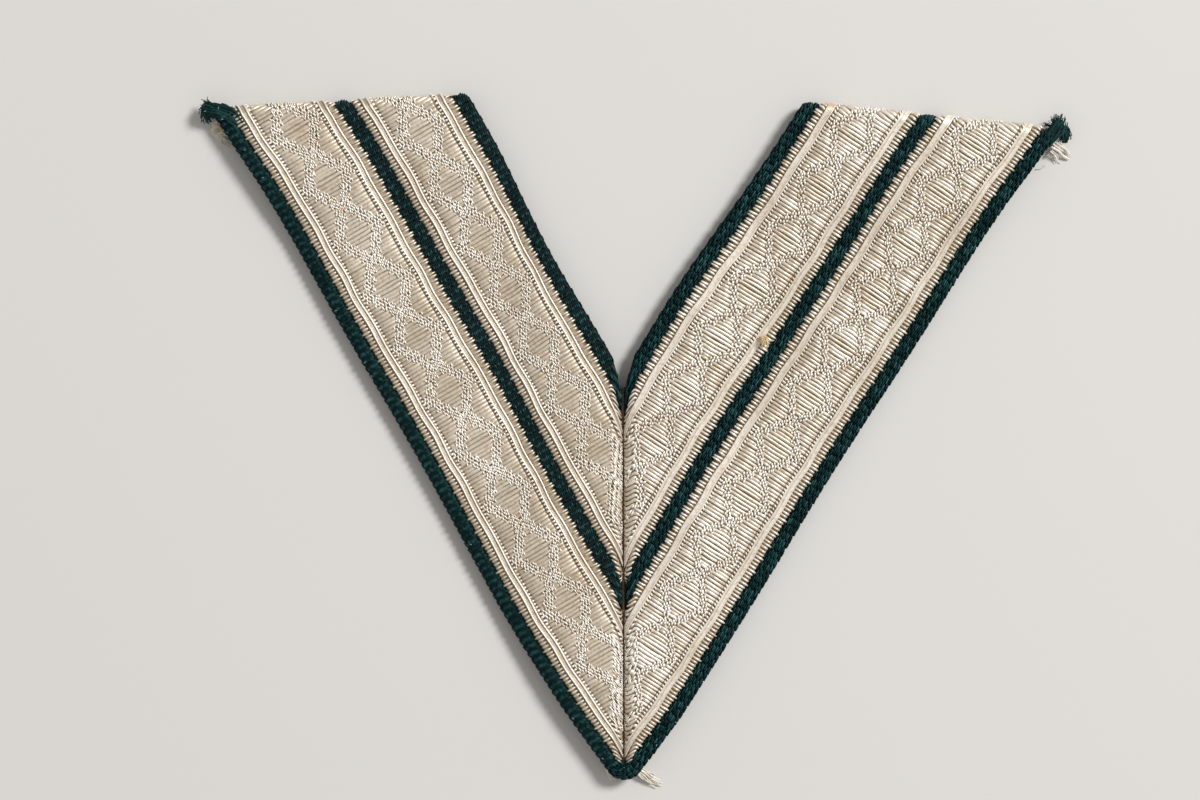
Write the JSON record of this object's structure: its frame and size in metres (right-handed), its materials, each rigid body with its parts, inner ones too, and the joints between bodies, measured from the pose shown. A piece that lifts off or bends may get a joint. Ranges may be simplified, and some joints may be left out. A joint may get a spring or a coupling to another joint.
{
  "type": "rank chevron patch",
  "caption": "Flat V-shaped rank chevron of double silver metal braid with dark green edges and stripe, mitred in the middle and hemmed at its tops.",
  "frame": {"origin": "middle of the patch's box, on the surface that it lies on", "axes": "+Z out of the face of the patch, -Y towards its tip, +X towards the arm on the right in the picture"},
  "size_m": [0.0898, 0.0707, 0.0024],
  "materials": {
    "silver_braid": "woven silver metal thread, aged to cream, with a soft metallic sheen",
    "green_selvage": "ribbed dark green woven cotton and rayon, satin",
    "green_stripe": "ribbed dark green woven stripe, satin",
    "green_yarn": "cut green yarn, fuzzy and matte"
  },
  "bodies": {
    "root": {"outer_edge": "green_selvage", "left_outer_band": "silver_braid", "left_middle_stripe": "green_stripe", "left_inner_band": "silver_braid", "left_inner_edge": "green_selvage", "right_outer_band": "silver_braid", "right_middle_stripe": "green_stripe", "right_inner_band": "silver_braid", "right_inner_edge": "green_selvage", "left_raw_end": "green_yarn", "right_raw_end": "green_yarn"}
  },
  "joints": []
}
